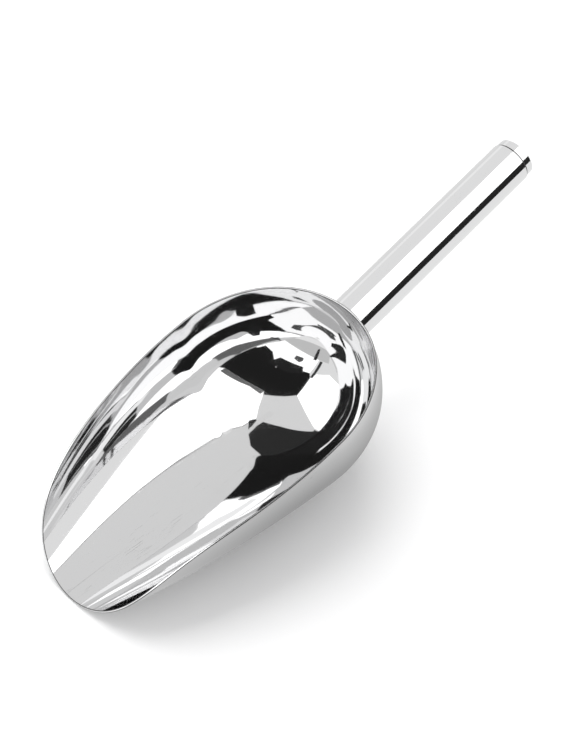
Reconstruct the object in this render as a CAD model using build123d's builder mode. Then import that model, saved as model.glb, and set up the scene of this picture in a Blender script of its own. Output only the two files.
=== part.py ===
from build123d import *
import os
from math import cos, radians, sin

# Ice scoop in polished stainless steel, resting on its belly, nose towards -X and handle towards +X.
# The origin is on the resting surface, under the middle of the scoop's overall length.
# All dimensions are in millimetres and degrees.

# Bowl, pressed from one sheet. Every cross-section is a lower and an upper half-ellipse that meet
# at the section's widest line, and every section touches the resting surface at its lowest point.
sheet = 1.0
widest_x = -27.65  # where the widest section stands
half_width = 49.0
belly_depth = 40.5  # widest line above the lowest point, in the widest section
wall_rise = 52.0  # upper semi-axis of the widest section, so that the walls stand nearly upright
back_length = 53.0  # round back, from the widest section to its tip
nose_shrink = 0.38  # share of its size that a section loses 100 mm ahead of the widest one
front_steps = (-112, -92, -72, -52, -34, -18, -7, 0)  # lofted sections ahead of the widest one
back_steps = (8, 18, 29, 40, 51, 61, 70, 78, 84, 88)  # and round the back, in degrees

# Rim, drawn from the side, measured from the widest section: nose tip first, back last.
rim_side_view = ((-107, 0), (-99, 12.5), (-81, 28.5), (-49, 40), (-8, 49.3), (28, 57), (53, 61.3), (70, 62))

# Handle, a straight tube welded to the back and closed by a pressed cap.
handle_rise = 16.0  # angle above the resting surface
handle_radius = 10.0
handle_wall = 1.0
handle_foot = (45.0, 47.0)  # a point of its axis, from the widest section and the resting surface
handle_length = 115.0  # from that point to the tube's end
weld_leg = 1.3
root_overrun = 12.0  # how far the blanks of the tube and weld start inside the bowl

# End cap, a shallow cup whose skirt is pressed into the tube.
cap_radius = 9.5
cap_height = 4.5
cap_skirt = 6.0
cap_wall = 1.0
cap_corner = 0.8
press_gap = 0.05  # between skirt and tube

handle_dir = (cos(radians(handle_rise)), 0, sin(radians(handle_rise)))
handle_plane = Plane(
    origin=(widest_x + handle_foot[0], 0, handle_foot[1]), x_dir=(0, 1, 0), z_dir=handle_dir
)


def front_section(x, inset):
    """Half-width, rise, depth and height of the widest line, x mm from the widest section."""
    size = 1 - nose_shrink * (x / 100) ** 2
    return half_width * size - inset, wall_rise * size - inset, belly_depth * size - inset, belly_depth * size


def back_section(turn, inset):
    """The same for the round back, turn degrees from the widest section round to the tip."""
    size = cos(radians(turn))
    return (half_width - inset) * size, (wall_rise - inset) * size, (belly_depth - inset) * size, belly_depth


def bowl_blank(inset):
    """Closed body of the bowl before its rim is cut, with its skin moved in by inset."""
    sections = [(x, *front_section(x, inset)) for x in front_steps]
    for turn in back_steps:
        sections.append(((back_length - inset) * sin(radians(turn)), *back_section(turn, inset)))
    with BuildPart() as blank:
        for x, width, rise, depth, height in sections:
            with BuildSketch(Plane.YZ.offset(widest_x + x)):
                with BuildLine():
                    EllipticalCenterArc((0, height), width, rise, 0, arc_size=180)
                    EllipticalCenterArc((0, height), width, depth, 180, arc_size=180)
                make_face()
        loft()
    return blank.part


outer_blank = bowl_blank(0)
inner_blank = bowl_blank(sheet)

# Pressed bowl: one sheet, cut along the rim.
with BuildPart() as bowl:
    add(outer_blank)
    add(inner_blank, mode=Mode.SUBTRACT)
    with BuildSketch(Plane.XZ):
        rim = [(widest_x + x, z) for x, z in rim_side_view]
        nose, back = rim[0], rim[-1]
        with BuildLine():
            Spline(*rim)
            Polyline(back, (back[0], 110), (nose[0] - 20, 110), (nose[0] - 20, -5), (nose[0], -5), nose)
        make_face()
    extrude(amount=half_width + 5, both=True, mode=Mode.SUBTRACT)
bowl.part.label = "bowl"

# Handle tube, coped to the back of the bowl.
with BuildPart() as handle_tube:
    with BuildSketch(handle_plane.offset(-root_overrun)):
        Circle(handle_radius)
        Circle(handle_radius - handle_wall, mode=Mode.SUBTRACT)
    extrude(amount=root_overrun + handle_length)
    add(outer_blank, mode=Mode.SUBTRACT)
handle_tube.part.label = "handle_tube"

# Weld bead round the root of the handle, along the tube's coped outer edge.
with BuildPart() as handle_weld:
    outer_skin = max(handle_tube.faces().filter_by(GeomType.CYLINDER), key=lambda face: face.area)
    root = Wire(outer_skin.edges().filter_by(GeomType.BSPLINE))
    with BuildSketch(Plane(origin=root @ 0, z_dir=root % 0)):
        Circle(weld_leg)
    sweep(path=root)
    with BuildSketch(handle_plane.offset(-root_overrun)):
        Circle(handle_radius)
    extrude(amount=2 * root_overrun + back_length, mode=Mode.SUBTRACT)
    add(outer_blank, mode=Mode.SUBTRACT)
handle_weld.part.label = "handle_weld"

# Pressed end cap.
with BuildPart() as end_cap:
    skirt_radius = handle_radius - handle_wall - press_gap
    with BuildSketch(handle_plane.offset(handle_length)):
        Circle(cap_radius)
    extrude(amount=cap_height)
    fillet(end_cap.edges().sort_by(SortBy.DISTANCE, reverse=True)[0], cap_corner)
    with BuildSketch(handle_plane.offset(handle_length)):
        Circle(skirt_radius)
    extrude(amount=-cap_skirt)
    with BuildSketch(handle_plane.offset(handle_length - cap_skirt)):
        Circle(skirt_radius - cap_wall)
    extrude(amount=cap_skirt + cap_height - cap_wall, mode=Mode.SUBTRACT)
end_cap.part.label = "end_cap"

os.makedirs("parts", exist_ok=True)
export_step(bowl.part, "parts/bowl.step")
export_step(handle_tube.part, "parts/handle_tube.step")
export_step(handle_weld.part, "parts/handle_weld.step")
export_step(end_cap.part, "parts/end_cap.step")

scoop = Compound(children=[bowl.part, handle_tube.part, handle_weld.part, end_cap.part])
box = scoop.bounding_box()
print("overall", [round(v, 2) for v in (*box.min, *box.max)])
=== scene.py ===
import bmesh
import bpy
import math
import numpy as np
from mathutils import Matrix, Vector


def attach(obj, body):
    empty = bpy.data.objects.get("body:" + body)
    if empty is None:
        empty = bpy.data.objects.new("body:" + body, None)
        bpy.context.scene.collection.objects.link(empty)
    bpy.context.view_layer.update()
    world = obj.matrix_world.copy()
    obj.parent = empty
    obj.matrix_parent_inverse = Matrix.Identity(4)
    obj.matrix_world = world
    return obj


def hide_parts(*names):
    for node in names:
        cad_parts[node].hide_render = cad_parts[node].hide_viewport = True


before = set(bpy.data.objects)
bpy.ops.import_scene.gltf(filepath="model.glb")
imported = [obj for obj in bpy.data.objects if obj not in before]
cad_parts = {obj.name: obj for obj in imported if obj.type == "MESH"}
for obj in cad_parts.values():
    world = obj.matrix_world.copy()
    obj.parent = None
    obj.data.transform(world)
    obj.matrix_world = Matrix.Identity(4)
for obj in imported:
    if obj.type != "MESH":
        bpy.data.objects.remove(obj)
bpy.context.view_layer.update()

MM = 0.001

# ---- Driving dimensions, as in the CAD model ----
SHEET = 1.0 * MM
WIDEST_X = -27.65 * MM
HALF_WIDTH = 49.0 * MM
BELLY_DEPTH = 40.5 * MM
WALL_RISE = 52.0 * MM
BACK_LENGTH = 53.0 * MM
NOSE_SHRINK = 0.38
# Points of the rim seen from the side, in millimetres from the widest section, nose tip first
RIM_SIDE_VIEW = ((-107, 0), (-99, 12.5), (-81, 28.5), (-49, 40), (-8, 49.3), (28, 57), (53, 61.3), (70, 62))

HANDLE_RISE = math.radians(16.0)
HANDLE_RADIUS = 10.0 * MM
HANDLE_WALL = 1.0 * MM
HANDLE_FOOT = Vector((WIDEST_X + 45.0 * MM, 0, 47.0 * MM))
HANDLE_LENGTH = 115.0 * MM
HANDLE_DIR = Vector((math.cos(HANDLE_RISE), 0, math.sin(HANDLE_RISE)))

WELD_LEG = 1.3 * MM

CAP_RADIUS = 9.5 * MM
CAP_HEIGHT = 4.5 * MM
CAP_CORNER = 0.8 * MM
CAP_SKIRT = 6.0 * MM
CAP_WALL = 1.0 * MM
PRESS_GAP = 0.05 * MM  # between the skirt and the tube
SKIRT_RADIUS = HANDLE_RADIUS - HANDLE_WALL - PRESS_GAP

# ---- Dimensions that only the visual model has ----
FRONT_TO_BACK = 9.0 * MM  # half the stretch over which the front's shape turns into the back's
LOW_TO_HIGH = 7.0 * MM  # and the lower half of a section into its upper half
EDGE_RADIUS = 0.25 * MM  # on both corners of the sheet's cut edge
TUBE_EDGE = 0.3 * MM  # rounding of the tube's outer end
CAP_ROOT = 0.25 * MM  # and of the cap where it meets that end
MIRROR_TILT_START = -30.0 * MM  # ahead of here the inner skin's shading normals tilt
MIRROR_TILT_RUN = 105.0 * MM  # and over this length
MIRROR_TILT = 0.11  # they reach about this slope
MIRROR_TILT_EASE = 0.06  # share of that length over which the tilt sets in


# ---- The bowl's outer skin ----
def ease(t):
    """0 to 1 with level ends and no jump in curvature."""
    t = np.clip(t, 0, 1)
    return t * t * t * (t * (6 * t - 15) + 10)


def skin_terms(x):
    """Squared size of the section at x, and the height of its widest line."""
    along = x - WIDEST_X
    front = 1 - NOSE_SHRINK * (along / (100 * MM)) ** 2
    behind = ease((along + FRONT_TO_BACK) / (2 * FRONT_TO_BACK))
    size2 = (1 - behind) * front**2 + behind * (1 - (along / BACK_LENGTH) ** 2)
    return size2, BELLY_DEPTH * ((1 - behind) * front + behind)


def skin_rise(above):
    """Squared height over the widest line, as a share of the half-ellipse's semi-axis."""
    upper = ease((above + LOW_TO_HIGH) / (2 * LOW_TO_HIGH))
    return above**2 * ((1 - upper) / BELLY_DEPTH**2 + upper / WALL_RISE**2)


def skin_value(p):
    """Zero on the outer skin, negative inside the bowl's blank."""
    size2, widest = skin_terms(p[..., 0])
    return (p[..., 1] / HALF_WIDTH) ** 2 + skin_rise(p[..., 2] - widest) - size2


def skin_gradient(p):
    step = 0.01 * MM
    parts = []
    for axis in range(3):
        d = np.zeros(3)
        d[axis] = step
        parts.append((skin_value(p + d) - skin_value(p - d)) / (2 * step))
    return np.stack(parts, -1)


def skin_normal(p):
    g = skin_gradient(p)
    return g / np.linalg.norm(g, axis=-1, keepdims=True)


def skin_half_width(x, z):
    """Half-width of the outer skin at a point of the side view, zero outside it."""
    size2, widest = skin_terms(x)
    return HALF_WIDTH * np.sqrt(np.maximum(size2 - skin_rise(z - widest), 0))


def inner_normal(p):
    """Shading normals of the inner skin, into the hollow.

    Ahead of the widest section they tilt a little towards the nose. Only reflections follow them:
    the mesh stays on the skin.
    """
    share = np.clip((MIRROR_TILT_START - p[..., 0]) / MIRROR_TILT_RUN, 0, 1.2)
    slope = MIRROR_TILT * share**2 / (share + MIRROR_TILT_EASE)
    n = -skin_normal(p)
    n = np.stack([n[..., 0] + n[..., 2] * slope, n[..., 1], n[..., 2] - n[..., 0] * slope], -1)
    return n / np.linalg.norm(n, axis=-1, keepdims=True)


def onto_skin(p, rounds=4):
    """The nearest points of the outer skin, closer with each round."""
    for _ in range(rounds):
        g = skin_gradient(p)
        p = p - g * (skin_value(p) / (g * g).sum(-1))[..., None]
    return p


def resample(points, count):
    """The same curve with its points evenly spaced along it."""
    run = np.r_[0, np.cumsum(np.linalg.norm(np.diff(points, axis=0), axis=1))]
    at = np.linspace(0, run[-1], count)
    return np.stack([np.interp(at, run, points[:, k]) for k in range(points.shape[1])], -1)


def natural_spline(knots, count):
    """A smooth curve through the knots."""
    knots = np.array(knots, float)
    run = np.r_[0, np.cumsum(np.linalg.norm(np.diff(knots, axis=0), axis=1))]
    gap = np.diff(run)
    n = len(knots)
    system = np.eye(n)
    right = np.zeros_like(knots)
    for i in range(1, n - 1):
        system[i, i - 1 : i + 2] = gap[i - 1], 2 * (gap[i - 1] + gap[i]), gap[i]
        right[i] = 6 * ((knots[i + 1] - knots[i]) / gap[i] - (knots[i] - knots[i - 1]) / gap[i - 1])
    bend = np.linalg.solve(system, right)
    at = np.linspace(0, run[-1], count)
    i = np.clip(np.searchsorted(run, at, side="right") - 1, 0, n - 2)
    h, a, b = gap[i], run[i + 1] - at, at - run[i]
    h, a, b = h[:, None], a[:, None], b[:, None]
    return (
        bend[i] * a**3 / (6 * h)
        + bend[i + 1] * b**3 / (6 * h)
        + (knots[i] / h - bend[i] * h / 6) * a
        + (knots[i + 1] / h - bend[i + 1] * h / 6) * b
    )


def rim_curve(count):
    """The outer rim of the +Y side, from the nose tip to the middle of the back."""
    side = natural_spline([(WIDEST_X + x * MM, z * MM) for x, z in RIM_SIDE_VIEW], 4001)
    size2, widest = skin_terms(side[:, 0])
    room = size2 - skin_rise(side[:, 1] - widest)  # below zero where the cut runs outside the skin
    middle = len(room) // 2
    last = middle + np.argmax(room[middle:] < 0)
    end = last - 1 + room[last - 1] / (room[last - 1] - room[last])
    begin = 0.0
    if (room[:middle] < 0).any():
        first = middle - np.argmax(room[middle::-1] < 0)
        begin = first - room[first] / (room[first + 1] - room[first])
    at = begin + (end - begin) * (1 - np.cos(np.linspace(0, math.pi, 3001))) / 2
    x = np.interp(at, np.arange(len(side)), side[:, 0])
    z = np.interp(at, np.arange(len(side)), side[:, 1])
    y = skin_half_width(x, z)
    y[0] = y[-1] = 0
    return resample(np.stack([x, y, z], -1), count)


def keel_curve(tip, back, count):
    """The middle line of the outer skin, from the nose tip along the floor to the back's rim."""
    centre = np.array([WIDEST_X, 0, BELLY_DEPTH])
    top = math.atan2(back[2] - BELLY_DEPTH, back[0] - WIDEST_X)
    turn = np.linspace(-math.pi / 2, top, 600)
    curved = centre + BACK_LENGTH * np.stack([np.cos(turn), 0 * turn, np.sin(turn)], -1)
    flat = np.linspace(tip, (WIDEST_X, 0, 0), 400)[:-1]
    line = np.concatenate([flat, curved])
    line[:, 1] = 0
    line = onto_skin(line, 12)
    line[0], line[-1] = tip, back
    return resample(line, count)


def new_object(name, data):
    thing = bpy.data.objects.new(name, data)
    bpy.context.scene.collection.objects.link(thing)
    return thing


# ---- The camera ----
AZIMUTH = math.radians(-45.0)
ELEVATION = math.radians(45.6)
ROLL = math.radians(0.63)
DISTANCE = 0.75945
TARGET = Vector((0.01823, 0.03164, 0))
LENS = 80.39


def make_camera():
    right = Vector((math.cos(AZIMUTH), math.sin(AZIMUTH), 0))
    level_back = Vector((math.sin(AZIMUTH), -math.cos(AZIMUTH), 0))
    back = level_back * math.cos(ELEVATION) + Vector((0, 0, math.sin(ELEVATION)))
    up = back.cross(right)
    right_rolled = right * math.cos(ROLL) + up * math.sin(ROLL)
    up_rolled = up * math.cos(ROLL) - right * math.sin(ROLL)
    data = bpy.data.cameras.new("camera")
    data.lens = LENS
    data.clip_start, data.clip_end = 0.01, 20
    camera = new_object("camera", data)
    turn = Matrix((right_rolled, up_rolled, back)).transposed().to_4x4()
    camera.matrix_world = Matrix.Translation(TARGET + back * DISTANCE) @ turn
    bpy.context.scene.camera = camera


make_camera()


# ---- Meshes ----
def new_piece(name, vertices, faces, normals=None):
    """A smooth mesh object; normals, one for each vertex, keep a mirror finish free of facets."""
    mesh = bpy.data.meshes.new(name)
    mesh.from_pydata([tuple(v) for v in vertices], [], faces)
    mesh.validate()
    mesh.polygons.foreach_set("use_smooth", [True] * len(mesh.polygons))
    if normals is not None:
        mesh.normals_split_custom_set_from_vertices([tuple(n) for n in normals])
    mesh.update()
    return new_object(name, mesh)


RIM_STEPS = 220  # along each side of the bowl
GIRTH_STEPS = 72  # from its keel to each rim
LIP_STEPS = 5  # round each corner of the sheet's cut edge
# The cut edge's slots hold painted reflections: a dark line on its rounded corners and a pale painted
# highlight on its flat.
DARK_REFLECTION_CORNER, HIGHLIGHT_FLAT = 1, 2  # material slots of the bowl
# The seam slot holds painted shade: a dark colour where the tube's end meets the cap.
SEAM_SHADE = 1  # material slot of the tube and cap


def mirrored(points):
    return points * np.array([1, -1, 1])


def bowl_skin():
    """Points of the outer skin's +Y half, row by row from the nose tip to the back, keel to rim."""
    rim = rim_curve(RIM_STEPS + 1)
    normal = skin_normal(rim)
    along = np.gradient(rim, axis=0)
    along[0], along[-1] = (0, 1, 0), (0, -1, 0)
    along /= np.linalg.norm(along, axis=1, keepdims=True)
    outward = np.cross(along, normal)  # in the skin, away from the bowl
    outward /= np.linalg.norm(outward, axis=1, keepdims=True)
    inset = onto_skin(rim - EDGE_RADIUS * outward)
    inset[0, 1] = inset[-1, 1] = 0
    keel = keel_curve(inset[0], inset[-1], RIM_STEPS + 1)
    rows = []
    for k, r in zip(keel[1:-1], inset[1:-1]):
        share = (1 - np.cos(np.linspace(0, math.pi / 2, 160)))[:, None]
        side = k[[0, 2]] + (r[[0, 2]] - k[[0, 2]]) * share
        line = np.stack([side[:, 0], skin_half_width(side[:, 0], side[:, 1]), side[:, 1]], -1)
        line[0], line[-1] = k, r
        row = onto_skin(resample(line, GIRTH_STEPS + 1))
        row[0], row[-1] = k, r
        rows.append(row)
    return rim, normal, outward, inset, np.array(rows)


def make_bowl():
    rim, normal, outward, inset, rows = bowl_skin()
    vertices, normals, faces = [], [], []

    def add(points, directions):
        start = len(vertices)
        vertices.extend(points)
        normals.extend(directions)
        return list(range(start, len(vertices)))

    def skin(shift, sign, facing):
        """One skin of the sheet; returns its boundary loop round the rim."""
        grid = []
        for row in rows:
            whole = np.concatenate([mirrored(row[:0:-1]), row])
            grid.append(add(whole - shift * skin_normal(whole), facing(whole)))
        ends = []
        for p in (inset[:1], inset[-1:]):
            ends += add(p - shift * skin_normal(p), facing(p))

        def face(*corners):
            faces.append(corners if sign > 0 else corners[::-1])

        last = len(grid[0]) - 1
        for a, b in zip(grid[:-1], grid[1:]):
            for j in range(last):
                face(a[j], a[j + 1], b[j + 1], b[j])
        for j in range(last):
            face(ends[0], grid[0][j + 1], grid[0][j])
            face(ends[1], grid[-1][j], grid[-1][j + 1])
        return [ends[0]] + [g[-1] for g in grid] + [ends[1]] + [g[0] for g in grid[::-1]]

    outer = skin(0, 1, skin_normal)
    inner = skin(SHEET, -1, inner_normal)

    def full_loop(half):
        return np.concatenate([half, mirrored(half[-2:0:-1])])

    rim_loop, normal_loop, outward_loop = full_loop(rim), full_loop(normal), full_loop(outward)
    rings = [outer]
    for corner, start in ((EDGE_RADIUS, 0), (SHEET - EDGE_RADIUS, math.pi / 2)):
        for k in range(LIP_STEPS + 1):
            turn = start + math.pi / 2 * k / LIP_STEPS
            if (k == 0 and start == 0) or (k == LIP_STEPS and start > 0):
                continue  # these two rings are the skins' own edges
            out, up = math.sin(turn), math.cos(turn)
            centre = rim_loop - EDGE_RADIUS * outward_loop - corner * normal_loop
            direction = out * outward_loop + up * normal_loop
            rings.append(add(centre + EDGE_RADIUS * direction, direction))
    rings.append(inner)
    lip_start = len(faces)
    for a, b in zip(rings[:-1], rings[1:]):
        for i in range(len(a)):
            j = (i + 1) % len(a)
            faces.append((a[i], b[i], b[j], a[j]))
    piece = new_piece("bowl_sheet", vertices, faces, normals)
    round_rim = len(outer)
    flat_start = lip_start + round_rim * LIP_STEPS
    for polygon in piece.data.polygons:
        if polygon.index >= lip_start:
            flat = flat_start <= polygon.index < flat_start + round_rim
            polygon.material_index = HIGHLIGHT_FLAT if flat else DARK_REFLECTION_CORNER
    return piece


AROUND = 192  # points round the handle
HANDLE_SIDE = Vector((0, 1, 0))
HANDLE_UP = HANDLE_DIR.cross(HANDLE_SIDE)
TURNS = np.linspace(0, 2 * math.pi, AROUND, endpoint=False)


def handle_outward(turn):
    """Unit vectors straight out from the handle's axis, turning from its side over its top."""
    return np.cos(turn)[..., None] * np.array(HANDLE_SIDE) + np.sin(turn)[..., None] * np.array(HANDLE_UP)


def tube_point(radius, turn, along):
    """Points round the handle's axis; turn and along are arrays of the same shape."""
    axis = np.array(HANDLE_FOOT) + np.asarray(along)[..., None] * np.array(HANDLE_DIR)
    return axis + radius * handle_outward(turn)


def tube_direction(turn, tilt):
    """Unit vectors leaning from straight out (tilt 0) to along the handle (tilt a quarter turn)."""
    return math.cos(tilt) * handle_outward(turn) + math.sin(tilt) * np.array(HANDLE_DIR)


def cope(radius, turn):
    """How far along the handle's axis a tube of that radius meets the bowl's outer skin."""
    near, far = np.full(turn.shape, -12.0 * MM), np.full(turn.shape, 30.0 * MM)  # inside and outside the bowl
    for _ in range(40):
        middle = (near + far) / 2
        inside = skin_value(tube_point(radius, turn, middle)) < 0
        near, far = np.where(inside, middle, near), np.where(inside, far, middle)
    return near


def ring_numbers(rings, size):
    """Vertex numbers of rings of one size that follow one another."""
    return [list(range(k * size, (k + 1) * size)) for k in range(rings)]


def stitch(rings, closed=False):
    """Quads between rings of vertex numbers, each ring running round the handle."""
    faces = []
    pairs = list(zip(rings[:-1], rings[1:])) + ([(rings[-1], rings[0])] if closed else [])
    for a, b in pairs:
        for i in range(len(a)):
            j = (i + 1) % len(a)
            faces.append((a[i], a[j], b[j], b[i]))
    return faces


def mark_seam_shade(piece, low, high):
    """Gives the faces that lie between two stations of the handle the dark colour of its seam, a painted
    shade where tube and cap meet.
    """
    for polygon in piece.data.polygons:
        along = (polygon.center - HANDLE_FOOT).dot(HANDLE_DIR)
        if low < along < high:
            polygon.material_index = SEAM_SHADE


def make_handle_tube():
    rings, directions = [], []
    inner_radius = HANDLE_RADIUS - HANDLE_WALL
    outer_start, inner_start = cope(HANDLE_RADIUS, TURNS), cope(inner_radius, TURNS)
    outer_end = HANDLE_LENGTH - TUBE_EDGE
    for share in np.linspace(0, 1, 90):
        rings.append(tube_point(HANDLE_RADIUS, TURNS, outer_start + (outer_end - outer_start) * share))
        directions.append(tube_direction(TURNS, 0))
    for tilt in np.linspace(0, math.pi / 2, 7)[1:]:
        radius = HANDLE_RADIUS - TUBE_EDGE + TUBE_EDGE * math.cos(tilt)
        along = outer_end + TUBE_EDGE * math.sin(tilt)
        rings.append(tube_point(radius, TURNS, np.full(AROUND, along)))
        directions.append(tube_direction(TURNS, tilt))
    for share in np.linspace(1, 0, 24):
        rings.append(tube_point(inner_radius, TURNS, inner_start + (HANDLE_LENGTH - inner_start) * share))
        directions.append(-tube_direction(TURNS, 0))
    faces = stitch(ring_numbers(len(rings), AROUND), closed=True)
    piece = new_piece("handle_pipe", np.concatenate(rings), faces, np.concatenate(directions))
    mark_seam_shade(piece, HANDLE_LENGTH - 0.22 * MM, HANDLE_LENGTH + 1 * MM)
    return piece


RIPPLES = 46  # round the weld
BEAD_RADIUS = 0.9 * WELD_LEG
BEAD_FLATNESS = 0.75  # its height as a share of its width
BEAD_REACH = 0.62 * math.pi  # how far round the bead goes to either side before it closes below the root
BEAD_BED = 0.4 * MM  # and how far below


def make_handle_weld():
    """Bead along the coped root, with the fine ripples that a weld leaves."""
    turns = np.linspace(0, 2 * math.pi, 4 * AROUND, endpoint=False)
    root = tube_point(HANDLE_RADIUS, turns, cope(HANDLE_RADIUS, turns))
    skin = skin_normal(root)
    wall = tube_direction(turns, 0)
    middle = skin + wall
    middle /= np.linalg.norm(middle, axis=1, keepdims=True)
    side = np.cross(np.roll(root, -1, axis=0) - np.roll(root, 1, axis=0), middle)
    side /= np.linalg.norm(side, axis=1, keepdims=True)
    uneven = 0.03 * np.sin(3 * turns + 1) + 0.02 * np.sin(11 * turns)
    radius = BEAD_RADIUS * (1 + 0.035 * np.sin(RIPPLES * turns) + uneven)[:, None]
    rings = []
    for tilt in np.linspace(BEAD_REACH, -BEAD_REACH, 19):
        rings.append(root + radius * (math.cos(tilt) * middle * BEAD_FLATNESS + math.sin(tilt) * side))
    rings.append(root - BEAD_BED * middle)
    faces = stitch(ring_numbers(len(rings), len(turns)), closed=True)
    return new_piece("weld_bead", np.concatenate(rings), faces)


def make_end_cap():
    """A shallow cup: rings up its outside to the middle of its end, then down the inside.

    Each ring has its radius, its place along the handle and the tilt of its normals.
    """
    top = HANDLE_LENGTH + CAP_HEIGHT
    inner = SKIRT_RADIUS - CAP_WALL
    root = HANDLE_LENGTH + 0.03 * MM + CAP_ROOT  # a hairline gap keeps the cap off the tube's end
    outside = [
        (SKIRT_RADIUS, HANDLE_LENGTH - CAP_SKIRT, 0),
        (SKIRT_RADIUS, HANDLE_LENGTH - 0.3 * MM, 0),
        (SKIRT_RADIUS + 0.02 * MM, HANDLE_LENGTH + 0.02 * MM, -math.pi / 4),
    ]
    for tilt in np.linspace(-math.pi / 2, 0, 6):
        radius = CAP_RADIUS - CAP_ROOT + CAP_ROOT * math.cos(tilt)
        outside.append((radius, root + CAP_ROOT * math.sin(tilt), tilt))
    for along in np.linspace(HANDLE_LENGTH + 0.6 * MM, top - CAP_CORNER, 8):
        outside.append((CAP_RADIUS, along, 0))
    for tilt in np.linspace(0, math.pi / 2, 12)[1:]:
        radius = CAP_RADIUS - CAP_CORNER + CAP_CORNER * math.cos(tilt)
        outside.append((radius, top - CAP_CORNER + CAP_CORNER * math.sin(tilt), tilt))
    for share in np.linspace(1, 0, 14)[1:-1]:
        outside.append(((CAP_RADIUS - CAP_CORNER) * share, top, math.pi / 2))
    inside = [
        (0.05 * inner, top - CAP_WALL, -math.pi / 2),
        (0.97 * inner, top - CAP_WALL, -math.pi / 2),
        (inner, top - CAP_WALL - 0.3 * MM, math.pi),
        (inner, HANDLE_LENGTH - CAP_SKIRT + 0.1 * MM, math.pi),
        (inner + 0.1 * MM, HANDLE_LENGTH - CAP_SKIRT, -math.pi / 2),
    ]
    vertices, normals, rings = [], [], []
    for radius, along, tilt in outside + inside:
        rings.append(list(range(len(vertices), len(vertices) + AROUND)))
        vertices.extend(tube_point(radius, TURNS, np.full(AROUND, along)))
        normals.extend(tube_direction(TURNS, tilt))
    last, first = len(outside) - 1, len(outside)
    faces = stitch(rings[:first]) + stitch(rings[first:]) + stitch([rings[-1], rings[0]])
    for ring, along, facing in ((rings[last], top, 1), (rings[first], top - CAP_WALL, -1)):
        vertices.extend(tube_point(0, TURNS[:1], np.array([along])))
        normals.append(facing * np.array(HANDLE_DIR))
        for a, b in zip(ring, ring[1:] + ring[:1]):
            faces.append((a, b, len(vertices) - 1) if facing > 0 else (b, a, len(vertices) - 1))
    piece = new_piece("cap_shell", vertices, faces, normals)
    mark_seam_shade(piece, HANDLE_LENGTH - 1 * MM, HANDLE_LENGTH + 0.5 * MM)
    return piece


# ---- Materials ----
class Nodes:
    """A material's node tree, with short calls for the nodes used here."""

    def __init__(self, name):
        self.material = bpy.data.materials.new(name)
        self.material.use_nodes = True
        self.tree = self.material.node_tree
        self.shader = self.tree.nodes["Principled BSDF"]
        self.place = self.tree.nodes.new("ShaderNodeTexCoord").outputs["Object"]

    def add(self, kind, inputs=(), **settings):
        node = self.tree.nodes.new(kind)
        for key, value in settings.items():
            setattr(node, key, value)
        for socket, value in dict(inputs).items():
            if isinstance(value, bpy.types.NodeSocket):
                self.tree.links.new(value, node.inputs[socket])
            else:
                node.inputs[socket].default_value = value
        return node

    def stretched(self, scale, turn=(0, 0, 0)):
        node = self.add("ShaderNodeMapping", {"Vector": self.place, "Scale": scale, "Rotation": turn})
        return node.outputs["Vector"]

    def noise(self, where, scale, detail=2.0, rough=0.5):
        inputs = {"Vector": where, "Scale": scale, "Detail": detail, "Roughness": rough}
        return self.add("ShaderNodeTexNoise", inputs).outputs["Fac"]

    def ranged(self, value, low, high, to_low=0.0, to_high=1.0):
        inputs = {"Value": value, "From Min": low, "From Max": high, "To Min": to_low, "To Max": to_high}
        return self.add("ShaderNodeMapRange", inputs, clamp=True).outputs["Result"]

    def maths(self, how, a, b):
        return self.add("ShaderNodeMath", {0: a, 1: b}, operation=how).outputs[0]

    def scratches(self, turn, length, fineness, amount):
        """Hair-thin scratches running at one angle, 1 in a scratch and 0 beside it."""
        fine = self.noise(self.stretched((1 / length, fineness, fineness), turn), 1.0, 1.0)
        patchy = self.noise(self.stretched((60, 60, 60), turn), 1.0, 1.0)
        lines = self.ranged(fine, 0.70 - amount, 0.74 - amount)
        return self.maths("MULTIPLY", lines, self.ranged(patchy, 0.5, 0.6))


SMEARS, GRAIN, SPECKS = 45.0, 2600.0, 130.0  # how many of them to a metre


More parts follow.
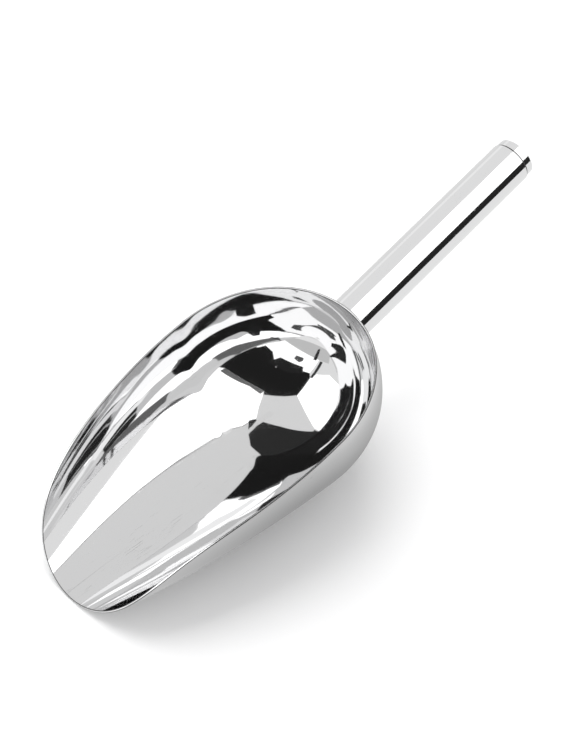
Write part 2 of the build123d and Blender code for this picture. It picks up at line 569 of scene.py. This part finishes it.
def steel(name, tone, roughness, scratch_depth, ways):
    """Polished stainless steel: wiping scratches, smears in the gloss, a fine grain, a few water specks.

    Each way has the scratches' angles, length in metres, fineness to a metre and how many there are.
    """
    n = Nodes(name)
    n.shader.inputs["Metallic"].default_value = 1.0
    scratch = None
    for turn, length, fineness, amount in ways:
        layer = n.scratches(turn, length, fineness, amount)
        scratch = layer if scratch is None else n.maths("MAXIMUM", scratch, layer)
    smear = n.noise(n.place, SMEARS, 3.0)
    grain = n.noise(n.place, GRAIN, 2.0)
    specks = n.add("ShaderNodeTexVoronoi", {"Vector": n.place, "Scale": SPECKS}, feature="F1").outputs
    chance = n.add("ShaderNodeSeparateColor", {"Color": specks["Color"]}).outputs["Red"]
    spot = n.ranged(specks["Distance"], 0.05, 0.075, 1.0, 0.0)
    dot = n.maths("MULTIPLY", spot, n.ranged(chance, 0.93, 0.94))  # one cell in fifteen has its speck
    marks = n.maths("MAXIMUM", n.maths("MULTIPLY", scratch, 0.35), n.maths("MULTIPLY", dot, 0.75))
    clean = (tone, tone, tone * 1.004, 1)
    worn = (tone * 0.55, tone * 0.55, tone * 0.54, 1)
    # Sockets 6 and 7 of a Mix node are its two colours, and output 2 their mixture.
    colour = n.add("ShaderNodeMix", {0: marks, 6: clean, 7: worn}, data_type="RGBA")
    n.tree.links.new(colour.outputs[2], n.shader.inputs["Base Color"])
    gloss = n.ranged(smear, 0.35, 0.7, roughness, roughness * 1.6)
    rough = n.maths("ADD", gloss, n.maths("MULTIPLY", marks, 0.22))
    n.tree.links.new(rough, n.shader.inputs["Roughness"])
    height = n.maths("SUBTRACT", n.maths("MULTIPLY", grain, 0.02), scratch)
    bump = n.add("ShaderNodeBump", {"Strength": scratch_depth, "Distance": 0.02 * MM, "Height": height})
    n.tree.links.new(bump.outputs["Normal"], n.shader.inputs["Normal"])
    return n.material


def paint(piece, *materials):
    """Fills the piece's material slots in order, and leaves the faces' own choice of slot alone."""
    for material in materials:
        piece.data.materials.append(material)


# ---- Studio ----
DOME_CENTRE = Vector((-0.03, 0, 0.03))
SKY = 0.88
WHITE = 1.9
MIRROR_BOUNCES = 16  # inside the bowl light is mirrored many times over
# Name, distance from the dome's centre in metres, brightness and corners. The corners are degrees from
# straight up, towards +X and towards +Y. They are placed so that the bowl mirrors what it does
# in the photo, and the near cards stand closer than a real one could.
CARDS = (
    ("photographer", 0.76, 0.015, ((-53, 6), (-49, 9), (-27, 9), (-20, 0), (-10, -15), (-13, -17), (-10, -30),
        (-5, -45), (2, -62), (14, -72), (10, -78), (-35, -78), (-42, -68), (-40, -64), (-50, -59), (-50, -46),
        (-38, -29), (-50, -8))),
    ("near_white", 0.09, 1.3, ((14, -7), (20, -5), (24, -3), (28, 0), (31, 3), (36, 6), (45, 6), (45, -20),
        (14, -20))),
    ("near_leaf", 0.09, 0.77, ((8, 9), (15, 9), (20, 10), (25, 12), (30, 14), (35.5, 14), (35.5, 16),
        (29, 16), (22, 13.5), (8, 14))),
    ("near_side", 0.09, 1.0, ((37, 8), (38, 30), (47, 32), (52, 10), (46, 6))),
    ("near_flag", 0.09, 0.02, ((-28, -37), (-44, -30), (-48, 3), (-40, 6), (-32, -8))),
    ("penumbra", 0.78, 0.16, ((-13, -17), (-9, -17), (-7, -30), (0, -45), (8, -62), (2, -62), (-5, -45),
        (-10, -30))),
    ("ceiling", 0.8, 0.8, ((-27, 9), (-8, 43), (-5, 45), (-2, 34), (2, 18), (6.5, 5), (9, 0), (0, -8),
        (-10, -15), (-20, 0))),
    ("leaf_vein", 2.95, 0.5, ((28.7, 24.6), (29.7, 27.8), (29.9, 27.7), (28.9, 24.5))),
    ("flag", 2.98, 0.03, ((-7, 50), (-10, 20), (0, 0), (8, -2), (12, -4), (16, 1.5), (21, 8.5), (26, 15.5),
        (26.9, 25), (28.0, 32), (29, 40), (29, 60), (0, 60))),
    ("leaf", 3.0, 0.77, ((0, 60), (8, -2), (17, -2.3), (26.5, -4.7), (28.5, -9.9), (30, -11.6), (31.2, -11.1),
        (33, -7.5), (34, 0), (34, 60))),
    ("leaf_edge", 3.02, 0.35, ((8, -3), (17, -3.1), (26.4, -5.5), (28.3, -10.6), (30, -12.3), (31.4, -11.8),
        (33.4, -8), (34.3, 0), (34.3, 10))),
    ("softbox_right", 3.05, WHITE, ((-20, -10), (0, 0), (14, 5), (40, 5), (41, -8), (38, -20), (37, -45),
        (36, -62), (30, -75), (12, -72), (0, -60), (-15, -30))),
    ("softbox_left", 0.85, WHITE, ((-27, 9), (-8, 43), (-5, 60), (-30, 64), (-50, 52), (-60, 30), (-55, 14),
        (-49, 10))),
    ("low_front", 0.85, 1.5, ((-53, 6), (-75, 10), (-95, 0), (-80, -40), (-60, -55), (-42, -72), (-34, -62),
        (-46, -44), (-38, -29), (-50, -8))),
    ("lens", 0.7, 0.1, ((-66, -10), (-64, -20), (-59, -20), (-58, -12), (-62, -9))),
    ("near_band", 0.09, 0.03, ((-88, 20), (-80, 18.5), (-70, 16.8), (-65, 16), (-65, 10.8), (-75, 12.2),
        (-85, 15))),
    ("low_grey", 0.83, 0.62, ((-73, 25), (-73, -50), (-100, -50), (-100, 25))),
    ("dark_line", 0.75, 0.05, ((-72, 16), (-49, 12), (-49, 9), (-72, 12))),
    ("far_side", 0.84, 0.18, ((-46, 50), (-30, 57), (-5, 58), (15, 60), (40, 52), (45, 66), (20, 86),
        (-20, 90), (-48, 70))),
)


def card(name, radius, level, corners):
    """A flat-toned patch of a dome round the scoop, seen only in reflections."""
    mesh = bpy.data.meshes.new(name)
    patch = bmesh.new()
    patch.faces.new([patch.verts.new((x, y, 0)) for x, y in corners])
    bmesh.ops.triangulate(patch, faces=patch.faces[:])
    for _ in range(4):
        bmesh.ops.subdivide_edges(patch, edges=patch.edges[:], cuts=1, use_grid_fill=True)
    for v in patch.verts:
        lean, turn = math.radians(math.hypot(v.co.x, v.co.y)), math.atan2(v.co.y, v.co.x)
        out = Vector((math.sin(lean) * math.cos(turn), math.sin(lean) * math.sin(turn), math.cos(lean)))
        v.co = DOME_CENTRE + radius * out
    patch.to_mesh(mesh)
    patch.free()
    hang_card(name, mesh, level)


def hang_card(name, mesh, level):
    """A glowing object that only mirrors see."""
    piece = new_object(name, mesh)
    material = bpy.data.materials.new(name)
    material.use_nodes = True
    tree = material.node_tree
    tree.nodes.clear()
    glow = tree.nodes.new("ShaderNodeEmission")
    glow.inputs["Strength"].default_value = level
    out = tree.nodes.new("ShaderNodeOutputMaterial")
    tree.links.new(glow.outputs[0], out.inputs["Surface"])
    mesh.materials.append(material)
    piece.visible_camera = piece.visible_diffuse = piece.visible_shadow = False
    return piece


HANDLE_CARDS = (  # name, brightness, and degrees from +Y over the top
    ("handle_side", 0.86, -20, 33),
    ("handle_line", 1.0, 33, 47),
    ("handle_grey", 0.89, 47, 99),
    ("handle_white", WHITE, 99, 154),
    ("handle_black", 0.02, 154, 180),
    ("handle_under", 0.93, 180, 340),
)
HANDLE_CARDS_RADIUS = 20.0 * MM
HANDLE_CARDS_SPAN = (9.0 * MM, 135.0 * MM)  # along the handle


def handle_card(name, level, low, high):
    """A strip bent round the handle, from low to high degrees."""
    turns = np.radians(np.linspace(low, high, 24))
    steps = np.linspace(*HANDLE_CARDS_SPAN, 8)
    points = [tube_point(HANDLE_CARDS_RADIUS, turns, np.full(turns.shape, step)) for step in steps]
    rows = ring_numbers(len(steps), len(turns))
    faces = []
    for a, b in zip(rows[:-1], rows[1:]):
        faces.extend((a[i], a[i + 1], b[i + 1], b[i]) for i in range(len(turns) - 1))
    mesh = bpy.data.meshes.new(name)
    mesh.from_pydata([tuple(p) for p in np.concatenate(points)], [], faces)
    hang_card(name, mesh, level)


FLOOR_HALF = 3.0
FLOOR_DROP = 0.05 * MM  # keeps the floor clear of the scoop's belly
SHADE_EDGES = (0.045, 0.16)  # metres from the middle of the scoop's shade
SHADE_TONES = (0.36, 0.93)  # of the floor's mirror image there


def floor_mesh(name):
    mesh = bpy.data.meshes.new(name)
    corners = [(x * FLOOR_HALF, y * FLOOR_HALF, 0) for x, y in ((-1, -1), (1, -1), (1, 1), (-1, 1))]
    mesh.from_pydata(corners, [], [(0, 1, 2, 3)])
    return mesh


def make_floor():
    """The floor that the camera sees."""
    mesh = floor_mesh("floor")
    floor = new_object("floor", mesh)
    floor.location.z = -FLOOR_DROP
    n = Nodes("floor")
    n.shader.inputs["Base Color"].default_value = (0.9, 0.9, 0.902, 1)
    n.shader.inputs["Roughness"].default_value = 0.7
    n.shader.inputs["Specular IOR Level"].default_value = 0.2
    mesh.materials.append(n.material)
    floor.visible_glossy = False


def make_floor_card():
    """The floor as the polished steel mirrors it: greyer in the scoop's own shade, pale farther off."""
    mesh = floor_mesh("floor_card")
    piece = hang_card("floor_card", mesh, 1.0)
    tree = mesh.materials[0].node_tree
    place = tree.nodes.new("ShaderNodeTexCoord").outputs["Object"]
    away = tree.nodes.new("ShaderNodeVectorMath")
    away.operation = "LENGTH"
    tree.links.new(place, away.inputs[0])
    shade = tree.nodes.new("ShaderNodeMapRange")
    for sockets, values in ((("From Min", "From Max"), SHADE_EDGES), (("To Min", "To Max"), SHADE_TONES)):
        for socket, value in zip(sockets, values):
            shade.inputs[socket].default_value = value
    tree.links.new(away.outputs["Value"], shade.inputs["Value"])
    tree.links.new(shade.outputs["Result"], tree.nodes["Emission"].inputs["Strength"])
    piece.location = (-0.025, 0, -0.06 * MM)


def make_lamp(name, place, size, power):
    data = bpy.data.lights.new(name, "AREA")
    data.size = size
    data.energy = power
    lamp = new_object(name, data)
    lamp.location = place
    lamp.rotation_mode = "QUATERNION"
    lamp.rotation_quaternion = Vector(place).to_track_quat("Z", "Y")
    lamp.visible_glossy = False
    lamp.visible_camera = False


def make_studio():
    for name, radius, level, corners in CARDS:
        card(name, radius, level, corners)
    for name, level, low, high in HANDLE_CARDS:
        handle_card(name, level, low, high)
    make_floor()
    make_floor_card()
    make_lamp("key", (0.2, 0.6, 1.0), 1.1, 11.0)
    world = bpy.data.worlds.new("studio")
    world.use_nodes = True
    background = world.node_tree.nodes["Background"]
    background.inputs["Color"].default_value = (1, 1, 1, 1)
    background.inputs["Strength"].default_value = SKY
    scene = bpy.context.scene
    scene.world = world
    scene.view_settings.view_transform = "Standard"
    scene.cycles.max_bounces = scene.cycles.glossy_bounces = MIRROR_BOUNCES


# ---- Putting it together ----
STEEL_TONE = 0.8

bowl = make_bowl()
tube = make_handle_tube()
weld = make_handle_weld()
cap = make_end_cap()
wiping = (((0, 0, 0.2), 0.02, 5200, -0.02), ((0, 0.3, -0.7), 0.012, 6000, -0.03))
along_handle = (((0, HANDLE_RISE, 0), 0.02, 5200, 0.03),)
round_seam = (((0, 0, 1.2), 0.01, 5200, 0.04),)
round_weld = (((0, 0, 0.9), 0.01, 5200, 0.04),)
# The dark and pale finishes of the rim and the seam stand in for what those narrow faces mirror in the photo.
paint(
    bowl,
    steel("bowl_steel", STEEL_TONE, 0.03, 0.12, wiping),
    steel("bowl_cut_corner_painted_reflection", 0.1, 0.3, 0.3, wiping),
    steel("bowl_cut_flat_painted_highlight", 0.95, 0.25, 0.3, wiping),
)
# Painted shade: the seam's dark colour stands for the shade where the tube meets the cap.
seam = steel("handle_seam_painted_shade", 0.08, 0.3, 0.3, round_seam)
paint(tube, steel("handle_steel", STEEL_TONE, 0.04, 0.25, along_handle), seam)
paint(weld, steel("weld_steel", STEEL_TONE * 0.92, 0.16, 0.4, round_weld))
paint(cap, steel("cap_steel", STEEL_TONE, 0.05, 0.3, round_seam), seam)

for piece, node, slot in (
    (bowl, "bowl", "bowl_steel"),
    (tube, "handle_tube", "handle_steel"),
    (weld, "handle_weld", "weld_steel"),
    (cap, "end_cap", "cap_steel"),
):
    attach(piece, "root")
    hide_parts(node)

make_studio()
